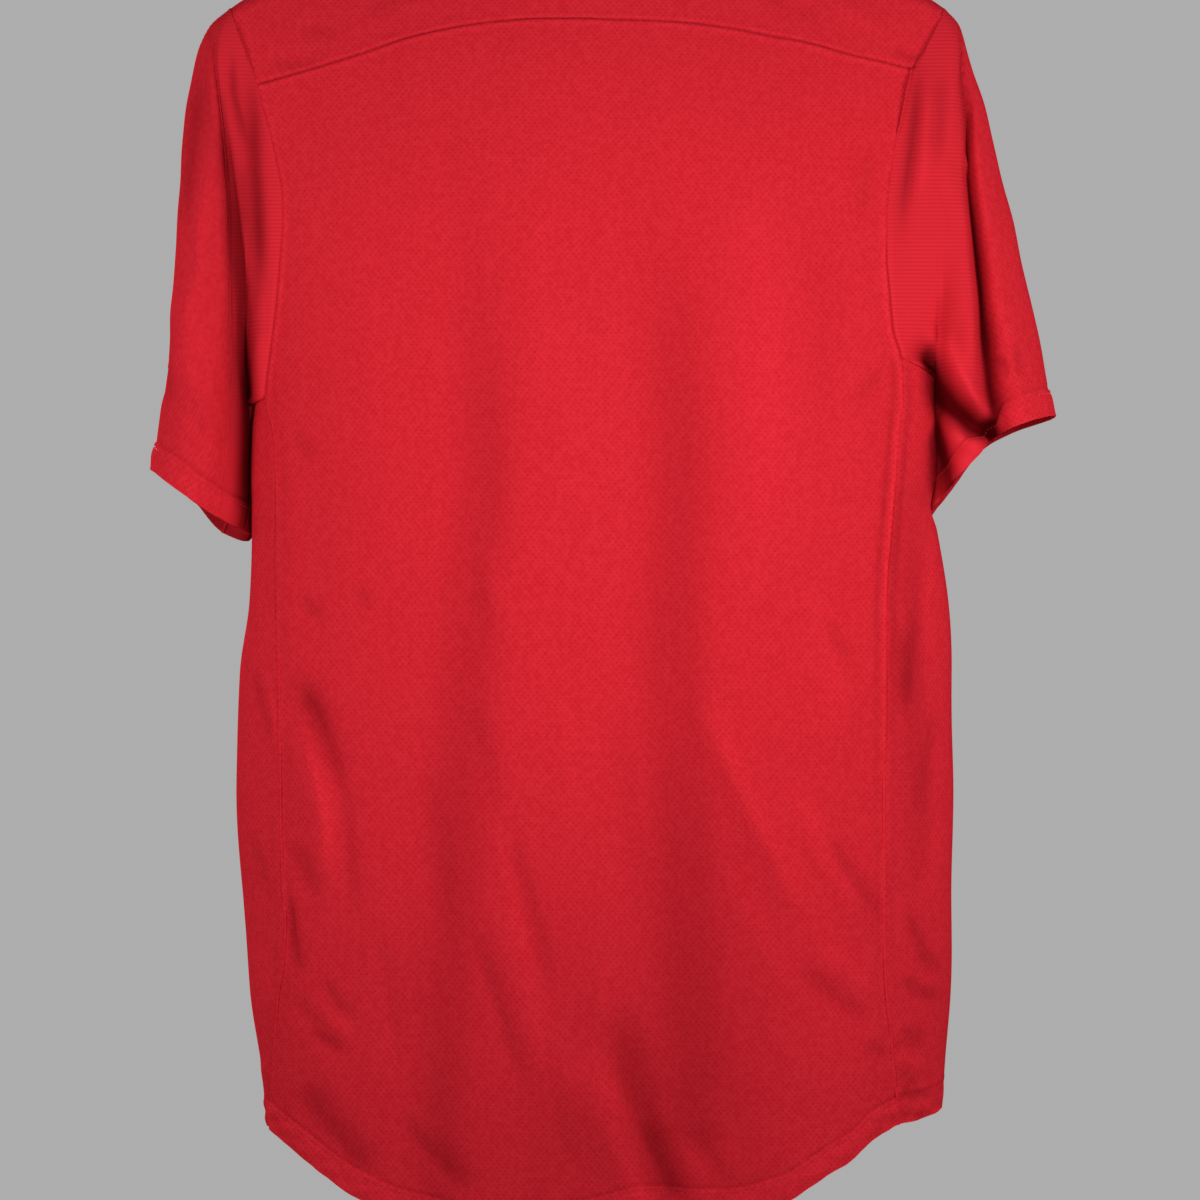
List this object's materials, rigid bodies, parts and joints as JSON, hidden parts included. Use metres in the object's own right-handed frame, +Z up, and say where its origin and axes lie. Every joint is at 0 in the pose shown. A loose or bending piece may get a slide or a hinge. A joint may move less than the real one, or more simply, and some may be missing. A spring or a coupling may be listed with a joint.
{
  "type": "football jersey on a hanger",
  "caption": "Short-sleeved knit football jersey with a back yoke, side panels, mesh sleeve insets and a drop-tail hem, hung on a plain shirt hanger.",
  "frame": {"origin": "inner top of the hanger's hook, where a rail bears", "axes": "+Z up, the jersey's front faces -Y and its back +Y, the wearer's left is +X"},
  "size_m": [0.5662, 0.1381, 0.8954],
  "materials": {
    "knit": "red bird's-eye knit with small dark pores, soft sheen",
    "mesh": "red ribbed waffle mesh",
    "rib": "red one by one rib",
    "plastic": "moulded black plastic",
    "wire": "plated steel wire"
  },
  "bodies": {
    "root": {"back": "knit", "front": "knit", "yoke": "knit", "collar": "rib", "side_left": "knit", "side_right": "knit", "sleeve_left": "knit", "sleeve_right": "knit", "sleeve_mesh_left": "mesh", "sleeve_mesh_right": "mesh", "hanger": "plastic", "hook": "wire"}
  },
  "joints": []
}
